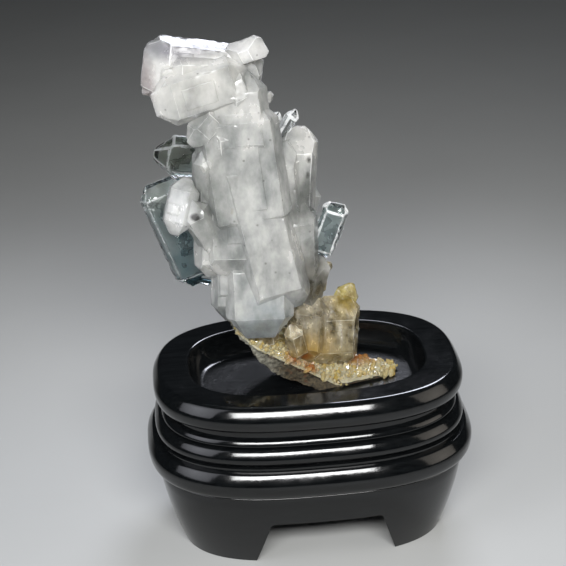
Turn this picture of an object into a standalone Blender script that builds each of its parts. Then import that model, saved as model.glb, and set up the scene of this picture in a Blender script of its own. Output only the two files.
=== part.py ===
# A faden quartz cluster on its shard of host rock, set in an oval carved wooden stand.
# +Z is up, the front of the stand faces -Y, and the origin is on the ground under its centre.

import math
import random

import bmesh
import bpy
from mathutils import Matrix, Vector

MM = 0.001
GAP = 0.3  # mm, clearance between neighbouring pieces
GROUND = -1.5  # mm, where the feet end on the scale that the heights below are read from

# Stand (mm): an oval plan with squarish ends, stacked mouldings, four bracket feet
STAND_HALF_WIDTH = 50.5
STAND_HALF_DEPTH = 36.2
STAND_SQUARENESS = 2.75  # 2 is an ellipse, larger is squarer
STAND_SEGMENTS = 44
SHARP_ABOVE = math.radians(50)  # steeper edges between faces stay crisp
STAND_TOP = 54.3
SLAB_BOTTOM = 46.3
SLAB_INSET = 3.0
WAIST_INSET = 6.8
WAIST_BOTTOM = 43.0
THIN_BEAD_BOTTOM = 40.9
THIN_BEAD_INSET = 4.9
MIDDLE_BEAD_BOTTOM = 35.4
MIDDLE_BEAD_INSET = 2.8
FILLET_BOTTOM = 33.9
FILLET_INSET = 3.0
BULLNOSE_BOTTOM = 25.9
APRON_TOP = 25.0
APRON_INSET = 2.9
FOOT_INSET = 9.0
FOOT_LEVELS = 3
FOOT_CURVE = 1.5  # above 1, the feet draw in more quickly near the ground
GROOVE = 1.5  # how far each moulding's edges lie behind its crest

POCKET_INSET = 17.0
POCKET_HEIGHT = 18.0
ARCH_HEIGHT = 14.6
ARCH_SHIFT = 1.8  # the front and back arches are cut a little off centre
FRONT_ARCH_TOP = 33.6
FRONT_ARCH_BOTTOM = 46.0
SIDE_ARCH_TOP = 15.0
SIDE_ARCH_BOTTOM = 23.0

RECESS_HALF_WIDTH = 36.2
RECESS_HALF_DEPTH = 23.0
RECESS_FLOOR = 46.6
RECESS_COVE = 6.5  # how far the wall sweeps in on its way down
RECESS_LIP = 0.7
SEAT_DEPTH = 1.4

# Host rock (mm): broken faces, each with a point on it and the way it looks
SEAT_FLOOR = RECESS_FLOOR - SEAT_DEPTH + GAP
BED_POINT = (-10.0, 0.0, 60.4)
BED_NORMAL = (0.56, -0.06, 0.83)
SHARD_FACES = (
    (BED_POINT, BED_NORMAL),
    ((-25.0, 0.0, 73.0), (-0.88, -0.18, -0.40)),
    ((-18.5, -5.0, 61.5), (-0.76, 0.06, -0.64)),
    ((-11.5, -6.0, 52.8), (-0.62, -0.16, -0.76)),
    ((-5.0, -6.0, 49.2), (-0.34, 0.10, -0.93)),
    ((0.0, 0.0, SEAT_FLOOR), (0.0, 0.0, -1.0)),
    ((-10.0, -9.4, 58.0), (0.05, -0.97, -0.12)),
    ((-20.0, -7.6, 68.0), (-0.30, -0.90, 0.20)),
    ((-10.0, 13.5, 58.0), (0.06, 0.96, -0.22)),
    ((-20.0, 11.0, 68.0), (-0.42, 0.88, 0.10)),
    ((14.0, 0.0, 48.0), (0.92, 0.10, 0.30)),
)
TOE_TOP_POINT = (15.0, 0.0, 48.0)
TOE_TOP_NORMAL = (0.10, -0.05, 0.99)
TOE_CRUST_FACES = (
    ((15.0, 0.0, 49.8), (0.10, -0.05, 0.99)),
    ((0.0, 0.0, RECESS_FLOOR + GAP), (0.0, 0.0, -1.0)),
    ((10.0, -8.4, 47.0), (0.26, -0.96, 0.10)),
    ((12.0, 11.6, 47.0), (0.46, 0.89, 0.05)),
    ((30.2, 0.0, 47.0), (0.99, 0.05, 0.12)),
    ((26.0, -4.6, 47.0), (0.60, -0.78, 0.16)),
    ((9.6, -8.0, 47.0), (-0.80, -0.45, -0.40)),
    ((0.0, 12.6, 47.0), (-0.10, 0.99, 0.05)),
)
TOE_FACES = (
    (TOE_TOP_POINT, TOE_TOP_NORMAL),
    ((0.0, 0.0, SEAT_FLOOR), (0.0, 0.0, -1.0)),
    ((10.0, -6.4, 47.0), (0.25, -0.96, -0.06)),
    ((12.0, 9.4, 47.0), (0.45, 0.89, -0.08)),
    ((28.0, 0.0, 47.0), (0.99, 0.05, -0.10)),
    ((24.0, -3.0, 47.0), (0.60, -0.78, 0.10)),
    ((-4.0, 0.0, 47.0), (-0.98, 0.10, -0.14)),
    ((0.0, -8.6, 47.0), (-0.22, -0.97, 0.0)),
    ((0.0, 12.0, 47.0), (-0.16, 0.98, -0.05)),
)

# Quartz: a flattened six-sided prism, closed at each end by six rhombohedral faces
RHOMB_ANGLE = math.radians(51.8)  # between the long axis and a rhombohedral face's normal
FACING = (0.0, -0.97, 0.24)  # the flattened faces look this way
FACE_JITTER = 0.05
SEED = 7

# name: root, tip, width, thickness, spin in degrees, ridge along the end (mm)
CRYSTALS = {
    "crown": ((-10, 4, 142), (-43, 1, 149), 19.5, 11.0, 6, 11.5),
    "crown step": ((-12, 3, 142), (-38.5, -3, 145), 17.0, 9.0, -8, 8.0),
    "shoulder": ((-14, -1, 145), (-41, -6, 139.5), 15.0, 9.0, -6, 6.0),
    "elbow": ((-22, -3, 137), (-31.5, -7, 128), 9.0, 7.0, -14, 3.0),
    "chip": ((-19, 1, 150), (-9, -2, 154), 8.0, 7.0, 24, 5.0),
    "neck": ((-20, 2, 123), (-14, 1, 148), 10.0, 9.0, 12, 4.0),
    "neck front": ((-20, -4, 147), (-15, -7, 136), 8.0, 6.0, -10, 3.0),
    "neck fill": ((-18, 3, 118), (-21, 2, 147), 14.0, 11.0, 5, 6.0),
    "neck plate": ((-18, -1, 146), (-17, -6, 121), 17.5, 9.0, 3, 9.0),
    "column plate": ((-19, -3, 138), (-15, -7, 99), 25.0, 9.0, 2, 14.0),
    "column left": ((-21, -2, 104), (-22, -4, 135), 12.0, 10.0, 14, 3.0),
    "column right": ((-14, -1, 101), (-12, -3, 137), 13.0, 10.0, -9, 4.0),
    "main": ((-17, -3, 125), (-7, -9, 75), 19.0, 11.0, -4, 12.0),
    "main step": ((-17, -1, 120), (-15, -6, 84), 17.0, 10.0, 9, 5.0),
    "main left": ((-20, -2, 122), (-21.5, -8, 87), 17.0, 9.5, 4, 9.0),
    "lower front": ((-14, -4, 93), (-14.5, -11, 68), 20.0, 10.0, 4, 9.0),
    "lower left": ((-21, -1, 97), (-22.5, -5, 71), 13.0, 9.0, 10, 4.0),
    "left fill": ((-25, -1, 126), (-26.5, -5, 86), 13.0, 9.0, 3, 6.0),
    "left middle": ((-23, -4, 90), (-33, -9, 111), 9.0, 7.0, -10, 3.0),
    "left upper": ((-26, -2, 105), (-27, -6, 126), 9.5, 8.0, 18, 2.5),
    "white": ((-33, -4, 116), (-38, -9, 102), 8.0, 6.5, 24, 2.0),
    "clear upper": ((-17, 3, 118), (-42, 4, 122), 12.5, 7.5, 4, 3.0),
    "clear big": ((-30, 4, 80), (-41.5, 5, 113.5), 15.5, 7.0, -3, 8.0),
    "clear low": ((-24, 4, 104), (-31.5, 5, 79), 14.0, 6.5, 6, 6.0),
    "clear wing": ((-33, 4, 95), (-45.5, 5, 110.5), 9.5, 6.0, 8, 2.5),
    "right tall": ((-3, 3, 89), (0, 5, 127), 13.0, 10.5, 8, 4.5),
    "right step": ((-4, 3, 94), (-4, 2, 123), 11.0, 9.0, -12, 3.0),
    "right middle": ((-1, 1, 76), (-1, -1, 106), 12.0, 9.0, 10, 3.0),
    "right fill": ((-6.5, 1.5, 124), (-4.5, -1, 80), 14.0, 11.0, -3, 6.0),
    "right lower": ((-1, 1, 69), (5, 3, 87), 10.0, 9.0, -15, 3.0),
    "glassy": ((5, 3, 86), (11, 1, 104), 8.6, 4.6, -4, 4.5),
    "tip a": ((-13, 4, 133), (-7, 4, 138), 4.2, 3.6, 20, 1.0),
    "tip b": ((-12, 4, 121), (-5, 5, 132), 3.8, 3.2, 0, 0.8),
    "tip c": ((-10.5, 4.4, 116), (0, 6, 132), 5.2, 4.4, 12, 1.5),
    "right edge a": ((1, 3, 81), (9, 3, 83), 5.2, 4.6, 15, 1.5),
    "right edge b": ((0, 3, 73), (7, 3, 78), 4.8, 4.4, -12, 1.2),
    "foot big": ((8, 1, 50), (10, 2, 73), 15.5, 10.0, 8, 8.0),
    "foot yellow": ((10, 5, 63), (16, 6, 75.5), 5.6, 4.8, 18, 1.0),
    "foot middle": ((-1, -2, 54), (2.5, 0, 74.5), 13.0, 9.0, -9, 4.5),
    "foot small": ((-2, -4, 56), (-5, -8, 69.5), 6.4, 5.4, 14, 1.5),
    "foot left": ((-12, -2, 60), (-13, -7, 74), 8.0, 6.0, -6, 2.0),
    "spine": ((-13, 1, 82), (-17.5, 2, 130), 14.0, 14.0, 0, 4.0),
    "back crown": ((-14, 5, 140), (-36, 11, 146), 14.0, 8.0, 14, 6.0),
    "back column": ((-14, 6, 96), (-17, 10, 136), 15.0, 10.0, 11, 5.0),
    "back main": ((-10, 6, 118), (-13, 13, 80), 17.0, 10.0, -14, 6.0),
    "back left": ((-22, 7, 88), (-33, 13, 108), 11.0, 8.0, 22, 3.0),
    "back right": ((-4, 7, 84), (3, 12, 108), 11.0, 8.0, -18, 3.0),
    "back foot": ((-1, 6, 58), (3, 11, 78), 11.0, 9.0, 8, 3.5),
    "back toe": ((10, 5, 50), (16, 8, 62), 7.0, 6.0, 14, 2.0),
}

# Druse (mm): small crystals that crust the rock's upper faces
CRUST_THICKNESS = 1.8
BED_LENGTH = 27.0
BED_DEPTH = 18.0
BED_CRYSTALS = 40
BED_SHIFT = 1.5
TOE_LENGTH = 25.0
TOE_DEPTH = 16.0
TOE_TAPER = 0.62  # how much narrower its far end is
TOE_SHIFT = 1.4
TOE_CRYSTALS = 52
DRUSE_LENGTHS = (2.4, 5.2)
DRUSE_WIDTHS = (1.8, 3.4)
DRUSE_FLATNESS = (0.7, 0.95)  # thickness as a share of width
DRUSE_RIDGE = 0.2
DRUSE_TILT = 0.55  # 0 stands square to the rock, 1 leans by 45 degrees
BIG = 400.0  # an uncut block, larger than the whole object


def clear_scene():
    for existing in list(bpy.data.objects):
        bpy.data.objects.remove(existing, do_unlink=True)


def new_collection(name, hidden=False):
    collection = bpy.data.collections.new(name)
    collection.hide_render = hidden
    bpy.context.scene.collection.children.link(collection)
    return collection


def principled(name, colour, roughness, transmission=0.0, ior=1.5):
    material = bpy.data.materials.new(name)
    material.use_nodes = True
    shader = material.node_tree.nodes["Principled BSDF"]
    shader.inputs["Base Color"].default_value = (*colour, 1.0)
    shader.inputs["Roughness"].default_value = roughness
    shader.inputs["Metallic"].default_value = 0.0
    shader.inputs["Transmission Weight"].default_value = transmission
    shader.inputs["IOR"].default_value = ior
    return material


def object_from(bm, name, collection, material=None):
    """Stands a bmesh on the ground, in metres, and links it; with no material it is a helper."""
    bmesh.ops.translate(bm, vec=(0, 0, -GROUND), verts=bm.verts)
    bmesh.ops.scale(bm, vec=(MM, MM, MM), verts=bm.verts)
    bmesh.ops.recalc_face_normals(bm, faces=bm.faces)
    mesh = bpy.data.meshes.new(name)
    bm.to_mesh(mesh)
    bm.free()
    made = bpy.data.objects.new(name, mesh)
    collection.objects.link(made)
    if material:
        mesh.materials.append(material)
    else:
        made.hide_render = True
        made.display_type = "WIRE"
    return made


def add_boolean(target, operation, collection):
    modifier = target.modifiers.new(operation.title(), "BOOLEAN")
    modifier.operation = operation
    modifier.solver = "EXACT"
    modifier.operand_type = "COLLECTION"
    modifier.collection = collection


# Ovals and mouldings


def oval_turned(profile, half_width, half_depth):
    """Spins a profile of (height, inset) points round the upright axis, then squares the circle up."""
    bm = bmesh.new()
    to_axis = [(profile[0][0], half_width), *profile, (profile[-1][0], half_width)]
    points = [bm.verts.new((half_width - inset, 0.0, height)) for height, inset in to_axis]
    edges = [bm.edges.new(pair) for pair in zip(points, points[1:])]
    outline = points + edges
    bmesh.ops.spin(bm, geom=outline, axis=(0, 0, 1), cent=(0, 0, 0), angle=math.tau, steps=STAND_SEGMENTS)
    bmesh.ops.remove_doubles(bm, verts=bm.verts, dist=GAP / 10)
    power = 2.0 / STAND_SQUARENESS
    for vertex in bm.verts:
        radius = math.hypot(vertex.co.x, vertex.co.y)
        inset = half_width - radius
        across, along = vertex.co.x, vertex.co.y
        if radius > GAP:
            across = math.copysign(abs(across / radius) ** power, across) * radius
            along = math.copysign(abs(along / radius) ** power, along) * (half_depth - inset)
        vertex.co.x, vertex.co.y = across, along
    return bm


def moulding(bottom, top, crest_inset, steps):
    """A half-round bead whose edges lie a groove's depth behind its crest."""
    middle, half = (bottom + top) / 2, (top - bottom) / 2
    points = []
    for step in range(steps + 1):
        turn = math.pi * step / steps
        points.append((middle - half * math.cos(turn), crest_inset + GROOVE * (1 - math.sin(turn))))
    return points


def stand_profile():
    profile = []
    for level in range(FOOT_LEVELS + 1):
        rise = level / FOOT_LEVELS
        drawn_in = (FOOT_INSET - APRON_INSET) * (1 - rise) ** FOOT_CURVE
        profile.append((GROUND + (APRON_TOP - GROUND) * rise, APRON_INSET + drawn_in))
    profile.append((BULLNOSE_BOTTOM, APRON_INSET + GROOVE / 2))
    profile += moulding(BULLNOSE_BOTTOM, FILLET_BOTTOM, 0.0, 4)[1:]
    profile.append((FILLET_BOTTOM, FILLET_INSET))
    profile.append((MIDDLE_BEAD_BOTTOM - GAP, FILLET_INSET))
    profile += moulding(MIDDLE_BEAD_BOTTOM, THIN_BEAD_BOTTOM - GAP, MIDDLE_BEAD_INSET, 4)
    profile += moulding(THIN_BEAD_BOTTOM, WAIST_BOTTOM, THIN_BEAD_INSET, 3)
    profile.append((WAIST_BOTTOM + GAP, WAIST_INSET))
    profile.append((SLAB_BOTTOM, WAIST_INSET))
    profile += moulding(SLAB_BOTTOM + GAP, STAND_TOP, SLAB_INSET, 6)
    profile.append((STAND_TOP, SLAB_INSET + GROOVE + 1.0))
    return profile


def recess_profile():
    """From the floor up a coved wall to a small rounded lip, then clear of the top."""
    rise = STAND_TOP - RECESS_FLOOR
    profile = []
    for step in range(5):
        turn = math.pi / 2 * step / 4
        profile.append((RECESS_FLOOR + rise * (1 - math.cos(turn)), RECESS_COVE * (1 - math.sin(turn))))
    profile[-1] = (STAND_TOP - RECESS_LIP, 0.0)
    profile.append((STAND_TOP, -RECESS_LIP))
    profile.append((STAND_TOP + RECESS_COVE, -RECESS_LIP))
    return profile


def arch_cutter(name, top, bottom, along_x, collection):
    """A long wedge-sided bar: its cross-section is the arch, wider at the ground."""
    bm = bmesh.new()
    bmesh.ops.create_cube(bm, size=1.0)
    for vertex in bm.verts:
        upper = vertex.co.z > 0
        vertex.co.x = vertex.co.x * (top if upper else bottom) + (0 if along_x else ARCH_SHIFT)
        vertex.co.y *= BIG
        vertex.co.z = ARCH_HEIGHT if upper else GROUND - GAP
    if along_x:
        quarter_turn = Matrix.Rotation(math.pi / 2, 3, "Z")
        bmesh.ops.rotate(bm, cent=(0, 0, 0), matrix=quarter_turn, verts=bm.verts)
    object_from(bm, name, collection)


# Solids cut from a block by flat faces


def cut_block(faces, grow=0.0):
    """The convex solid inside all the faces, each given by a point on it and its outward direction."""
    bm = bmesh.new()
    bmesh.ops.create_cube(bm, size=BIG)
    for point, outward in faces:
        outward = Vector(outward).normalized()
        cut = bmesh.ops.bisect_plane(
            bm,
            geom=[*bm.verts, *bm.edges, *bm.faces],
            dist=1e-5,
            plane_co=Vector(point) + outward * grow,
            plane_no=outward,
            clear_outer=True,
        )
        rim = [item for item in cut["geom_cut"] if isinstance(item, bmesh.types.BMEdge)]
        if rim:
            bmesh.ops.contextual_create(bm, geom=rim)
    return bm


def crystal_faces(root, tip, width, thickness, spin, ridge, draw):
    """The prism and rhombohedral faces of one crystal, in the object's own frame."""
    root, tip = Vector(root), Vector(tip)
    axis = (tip - root).normalized()
    half_length = (tip - root).length / 2
    middle = (root + tip) / 2
    front = Vector(FACING)
    front = (front - axis * front.dot(axis)).normalized()
    front.rotate(Matrix.Rotation(math.radians(spin), 3, axis))
    side = front.cross(axis)
    faces = []
    for sixth in range(6):
        turn = math.radians(30 + 60 * sixth)
        outward = side * math.cos(turn) + front * math.sin(turn)
        flattened = sixth in (1, 4)
        reach = thickness / 2 if flattened else width / 2 * math.cos(math.radians(30))
        reach *= 1 + draw.uniform(-FACE_JITTER, FACE_JITTER)
        faces.append((middle + outward * reach, outward))
        for end in (1, -1):
            sloped = outward * math.sin(RHOMB_ANGLE) + axis * end * math.cos(RHOMB_ANGLE)
            along_ridge = 0.0 if flattened else math.copysign(ridge / 2, math.cos(turn))
            apex = middle + axis * end * half_length + side * along_ridge
            faces.append((apex + sloped * draw.uniform(0, FACE_JITTER) * thickness, sloped))
    return faces


def build_stand(parts, cutters, seat_cutters, material):
    turned = oval_turned(stand_profile(), STAND_HALF_WIDTH, STAND_HALF_DEPTH)
    stand = object_from(turned, "stand", parts, material)
    stand.data.shade_smooth()
    stand.data.set_sharp_from_angle(angle=SHARP_ABOVE)
    recess = oval_turned(recess_profile(), RECESS_HALF_WIDTH, RECESS_HALF_DEPTH)
    object_from(recess, "recess cutter", cutters)
    pocket = [(-POCKET_HEIGHT, POCKET_INSET), (POCKET_HEIGHT, POCKET_INSET)]
    object_from(oval_turned(pocket, STAND_HALF_WIDTH, STAND_HALF_DEPTH), "pocket cutter", cutters)
    arch_cutter("front arch cutter", FRONT_ARCH_TOP, FRONT_ARCH_BOTTOM, False, cutters)
    arch_cutter("side arch cutter", SIDE_ARCH_TOP, SIDE_ARCH_BOTTOM, True, cutters)
    add_boolean(stand, "DIFFERENCE", cutters)
    add_boolean(stand, "DIFFERENCE", seat_cutters)


def build_rock(parts, toe_parts, seat_cutters, material):
    rock = object_from(cut_block(SHARD_FACES), "matrix_rock", parts, material)
    object_from(cut_block(TOE_FACES), "toe", toe_parts)
    object_from(cut_block(SHARD_FACES, GAP), "shard clearance", seat_cutters)
    object_from(cut_block(TOE_FACES, GAP), "toe clearance", seat_cutters)
    add_boolean(rock, "UNION", toe_parts)


def bed_crust():
    """A skin over the shard's sloping top, kept just inside the faces round it."""
    outward = Vector(BED_NORMAL).normalized()
    upper = (Vector(BED_POINT) + outward * CRUST_THICKNESS, outward)
    lower = (Vector(BED_POINT) - outward * CRUST_THICKNESS, -outward)
    return cut_block([upper, lower, *SHARD_FACES[1:]], -GAP)


def druse_crystals(point, normal, count, place, draw):
    """Small crystals rooted in a face's crust and leaning a little from square to it."""
    outward = Vector(normal).normalized()
    down_slope = Vector((outward.z, 0.0, -outward.x)).normalized()
    across = outward.cross(down_slope)
    for _ in range(count):
        along, sideways = place(draw)
        root = Vector(point) + down_slope * along + across * sideways
        lean = down_slope * draw.uniform(-DRUSE_TILT, DRUSE_TILT)
        lean += across * draw.uniform(-DRUSE_TILT, DRUSE_TILT)
        tip = root + (outward + lean).normalized() * draw.uniform(*DRUSE_LENGTHS)
        width = draw.uniform(*DRUSE_WIDTHS)
        thickness = width * draw.uniform(*DRUSE_FLATNESS)
        spin = draw.uniform(0, 60)
        yield crystal_faces(root - outward, tip, width, thickness, spin, DRUSE_RIDGE, draw)


def bed_place(draw):
    along = draw.uniform(-BED_LENGTH / 2, BED_LENGTH / 2)
    return along, BED_DEPTH * draw.uniform(-0.5, 0.5) + BED_SHIFT


def toe_place(draw):
    along = draw.uniform(-TOE_LENGTH / 2, TOE_LENGTH / 2)
    taper = 1 - TOE_TAPER * (along / TOE_LENGTH + 0.5)
    return along, TOE_DEPTH * taper * draw.uniform(-0.5, 0.5) + TOE_SHIFT


def build_quartz(parts, grown, seat_cutters, floor_cutters, material):
    draw = random.Random(SEED)
    names = list(CRYSTALS)
    quartz = object_from(
        cut_block(crystal_faces(*CRYSTALS[names[0]], draw)), "quartz_cluster", parts, material
    )
    for name in names[1:]:
        object_from(cut_block(crystal_faces(*CRYSTALS[name], draw)), name, grown)
    object_from(bed_crust(), "bed crust", grown)
    object_from(cut_block(TOE_CRUST_FACES), "toe crust", grown)
    for faces in druse_crystals(BED_POINT, BED_NORMAL, BED_CRYSTALS, bed_place, draw):
        object_from(cut_block(faces), "bed druse", grown)
    for faces in druse_crystals(TOE_TOP_POINT, TOE_TOP_NORMAL, TOE_CRYSTALS, toe_place, draw):
        object_from(cut_block(faces), "toe druse", grown)
    above_floor = ((0.0, 0.0, RECESS_FLOOR + GAP), (0.0, 0.0, 1.0))
    object_from(cut_block([above_floor]), "floor clearance", floor_cutters)
    add_boolean(quartz, "UNION", grown)
    add_boolean(quartz, "DIFFERENCE", seat_cutters)
    add_boolean(quartz, "DIFFERENCE", floor_cutters)


def main():
    clear_scene()
    parts = new_collection("faden quartz cluster")
    cutters = new_collection("stand cutters", hidden=True)
    toe_parts = new_collection("rock toe", hidden=True)
    seat_cutters = new_collection("rock clearance", hidden=True)
    floor_cutters = new_collection("floor clearance", hidden=True)
    grown = new_collection("grown crystals", hidden=True)
    lacquer = principled("black lacquered wood", (0.012, 0.014, 0.016), 0.12)
    rock = principled("host rock", (0.14, 0.12, 0.08), 0.85)
    quartz = principled("milky quartz", (0.78, 0.78, 0.75), 0.12, transmission=0.5, ior=1.544)
    build_rock(parts, toe_parts, seat_cutters, rock)
    build_stand(parts, cutters, seat_cutters, lacquer)
    build_quartz(parts, grown, seat_cutters, floor_cutters, quartz)


main()
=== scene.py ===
import math
import random
from functools import partial

import bmesh
import bpy
from mathutils import Matrix, Vector, noise


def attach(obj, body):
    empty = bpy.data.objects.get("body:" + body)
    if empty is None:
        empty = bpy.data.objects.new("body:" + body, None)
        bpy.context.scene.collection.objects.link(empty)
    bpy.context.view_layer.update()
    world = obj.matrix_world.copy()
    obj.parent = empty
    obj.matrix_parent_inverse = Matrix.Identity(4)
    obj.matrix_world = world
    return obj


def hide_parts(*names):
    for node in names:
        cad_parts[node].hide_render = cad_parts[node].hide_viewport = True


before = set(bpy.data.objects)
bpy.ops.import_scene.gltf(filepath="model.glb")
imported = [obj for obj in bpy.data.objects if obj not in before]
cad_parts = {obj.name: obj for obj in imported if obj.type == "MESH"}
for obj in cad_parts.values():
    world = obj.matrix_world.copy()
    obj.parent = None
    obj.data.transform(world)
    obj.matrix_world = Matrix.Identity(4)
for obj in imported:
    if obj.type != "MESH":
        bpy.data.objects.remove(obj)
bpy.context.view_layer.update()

# Faden quartz cluster on its shard of host rock, in an oval black lacquered stand.
# Sizes are in millimetres until a mesh is finished. Heights are read from a level
# that lies footDrop above the ground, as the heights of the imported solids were.
mm = 0.001
footDrop = 1.5


# Shared helpers

def linearColour(hexText):
    channels = []
    for start in (1, 3, 5):
        value = int(hexText[start:start + 2], 16) / 255
        channels.append(value / 12.92 if value <= 0.04045 else ((value + 0.055) / 1.055) ** 2.4)
    return (*channels, 1.0)


def feed(node, inputs):
    # Inputs go by name, by number or in order, and take an output, a hex colour or a value
    for key, value in inputs.items() if isinstance(inputs, dict) else enumerate(inputs):
        if isinstance(value, bpy.types.NodeSocket):
            node.id_data.links.new(value, node.inputs[key])
        elif isinstance(value, str) and value.startswith("#"):
            node.inputs[key].default_value = linearColour(value)
        else:
            node.inputs[key].default_value = value


def addNode(tree, kind, inputs=(), out=0, **settings):
    # Gives the output that out names, or the node itself where out is None. A kind without
    # Node in its name is a shader node's.
    node = tree.nodes.new(kind if "Node" in kind else "ShaderNode" + kind)
    for name, value in settings.items():
        setattr(node, name, value)
    feed(node, inputs)
    return node if out is None else node.outputs[out]


def newMaterial(name):
    # Gives also what adds a node to it, its shader and the place on the piece
    material = bpy.data.materials.new(name)
    material.use_nodes = True
    add = partial(addNode, material.node_tree)
    return material, add, material.node_tree.nodes["Principled BSDF"], add("TexCoord", out="Object")


def scaledNoise(add, place, size, detail=4.0, roughness=0.5, stretch=(1, 1, 1), shift=(0, 0, 0)):
    # size is one blotch's width in mm, and stretch lengthens it along an axis
    scaled = add("Mapping", {
        "Vector": place, "Location": shift, "Scale": [1 / (size * mm * length) for length in stretch]})
    return add("TexNoise", {
        "Vector": scaled, "Scale": 1.0, "Detail": detail, "Roughness": roughness}, "Fac")


def spot(add, place, centre, radius, wobble, soft=0.5):
    # 1 inside a ball round centre, falling to 0 at its ragged edge; centre and radius in mm
    moved = add("VectorMath", [place, onGround(centre) * -mm], operation="ADD")
    squeezed = add("VectorMath", {
        0: moved, 1: [1 / (size * mm) for size in radius]}, operation="MULTIPLY")
    distance = add("VectorMath", [squeezed], "Value", operation="LENGTH")
    ragged = add("Math", [distance, wobble], operation="ADD")
    return add("MapRange", [ragged, 1.0 - soft, 1.0, 1.0, 0.0])


def newShapeTree(name, sockets):
    # A Geometry Nodes tree that takes and gives a geometry, and has these named inputs too
    tree = bpy.data.node_groups.new(name, "GeometryNodeTree")
    for label, kind in (("Geometry", "Geometry"), *sockets):
        tree.interface.new_socket(label, in_out="INPUT", socket_type="NodeSocket" + kind)
    tree.interface.new_socket("Geometry", in_out="OUTPUT", socket_type="NodeSocketGeometry")
    add = partial(addNode, tree)
    return add, add("NodeGroupInput", out=None).outputs


def endShapeTree(add, geometry, material):
    real = add("GeometryNodeRealizeInstances", [geometry])
    painted = add("GeometryNodeSetMaterial", {"Geometry": real, "Material": material})
    return add("NodeGroupOutput", [painted], None).id_data


def applyShapeTree(piece, tree, values):
    # The modifier's inputs go by their identifiers, found from their names
    modifier = piece.modifiers.new(tree.name, "NODES")
    modifier.node_group = tree
    for item in tree.interface.items_tree:
        if item.in_out == "INPUT" and item.name in values:
            modifier[item.identifier] = values[item.name]
    return settle(piece)


def onGround(point):
    return Vector(point) + Vector((0, 0, footDrop))


def placeObject(name, data):
    made = bpy.data.objects.new(name, data)
    bpy.context.scene.collection.objects.link(made)
    return made


def meshObject(name, bm):
    mesh = bpy.data.meshes.new(name)
    bm.to_mesh(mesh)
    bm.free()
    return placeObject(name, mesh)


def useMaterial(piece, material):
    piece.data.materials.clear()
    piece.data.materials.append(material)


def newObject(name, bm, material=None):
    # Stands a bmesh that is in mm on the ground, in metres
    bmesh.ops.translate(bm, vec=(0, 0, footDrop), verts=bm.verts)
    bmesh.ops.scale(bm, vec=(mm, mm, mm), verts=bm.verts)
    bmesh.ops.recalc_face_normals(bm, faces=bm.faces)
    made = meshObject(name, bm)
    if material:
        useMaterial(made, material)
    return made


def settle(piece):
    # Turns what the modifiers make into the piece's own plain mesh
    graph = bpy.context.evaluated_depsgraph_get()
    graph.update()
    mesh = bpy.data.meshes.new_from_object(piece.evaluated_get(graph))
    mesh.name = piece.name
    piece.modifiers.clear()
    old = piece.data
    piece.data = mesh
    if old.users == 0:
        bpy.data.meshes.remove(old)
    return piece


def closeSlivers(piece, shortest=0.025):
    # Closes up the edges shorter than this, in mm, that a Boolean leaves
    bm = bmesh.new()
    bm.from_mesh(piece.data)
    bmesh.ops.remove_doubles(bm, verts=bm.verts, dist=shortest * mm)
    bm.to_mesh(piece.data)
    bm.free()


def joinSolids(piece, others, operation="UNION", solver="MANIFOLD"):
    helpers = bpy.data.collections.new("helpers")
    bpy.context.scene.collection.children.link(helpers)
    for other in others:
        helpers.objects.link(other)
    modifier = piece.modifiers.new("join", "BOOLEAN")
    modifier.operation = operation
    modifier.operand_type = "COLLECTION"
    modifier.collection = helpers
    modifier.solver = solver
    settle(piece)
    closeSlivers(piece)
    for other in list(others):
        bpy.data.objects.remove(other, do_unlink=True)
    bpy.data.collections.remove(helpers)
    return piece


def finishPiece(piece, nodeName):
    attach(piece, "root")
    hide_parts(nodeName)
    print(f"{piece.name}: {len(piece.data.polygons)} faces")


def cutBlock(faces, grow=0.0):
    # The convex solid inside faces, each a point on it and the way it looks
    bm = bmesh.new()
    bmesh.ops.create_cube(bm, size=400.0)
    for point, outward in faces:
        outward = Vector(outward).normalized()
        cut = bmesh.ops.bisect_plane(
            bm, geom=[*bm.verts, *bm.edges, *bm.faces], dist=1e-5,
            plane_co=Vector(point) + outward * grow, plane_no=outward, clear_outer=True)
        rim = [item for item in cut["geom_cut"] if isinstance(item, bmesh.types.BMEdge)]
        if rim:
            bmesh.ops.contextual_create(bm, geom=rim)
    return bm


# Materials

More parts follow.
